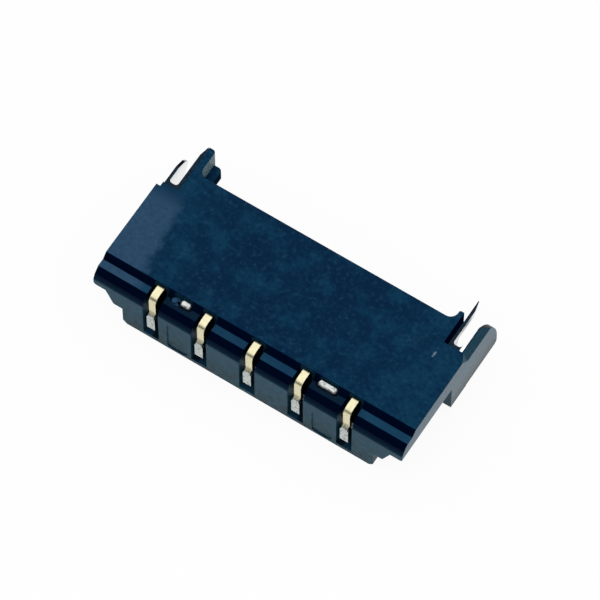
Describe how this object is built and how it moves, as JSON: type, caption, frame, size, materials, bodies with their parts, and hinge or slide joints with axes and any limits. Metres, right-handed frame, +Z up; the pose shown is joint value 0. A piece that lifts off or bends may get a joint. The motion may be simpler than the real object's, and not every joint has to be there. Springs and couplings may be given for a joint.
{
  "type": "battery connector",
  "caption": "Low surface-mount battery connector: flat-topped housing with a row of gold spring contacts on one side, solder tails behind and a hold-down clip at each end.",
  "frame": {"origin": "centre of the footprint, on the board plane", "axes": "+X along the row of contacts, +Y from the contact face to the solder tails, +Z up from the board"},
  "size_m": [0.016, 0.0078, 0.0034],
  "materials": {
    "housing": "satin moulded liquid-crystal polymer, blue-black",
    "contact": "gold-plated copper alloy",
    "hold_down": "tin-plated sheet metal",
    "anchor_pin": "tin-plated square wire"
  },
  "bodies": {
    "root": {"housing": "housing", "contact_1": "contact", "contact_2": "contact", "contact_3": "contact", "contact_4": "contact", "contact_5": "contact", "hold_down_left": "hold_down", "hold_down_right": "hold_down", "anchor_pin_left": "anchor_pin", "anchor_pin_right": "anchor_pin"}
  },
  "joints": []
}
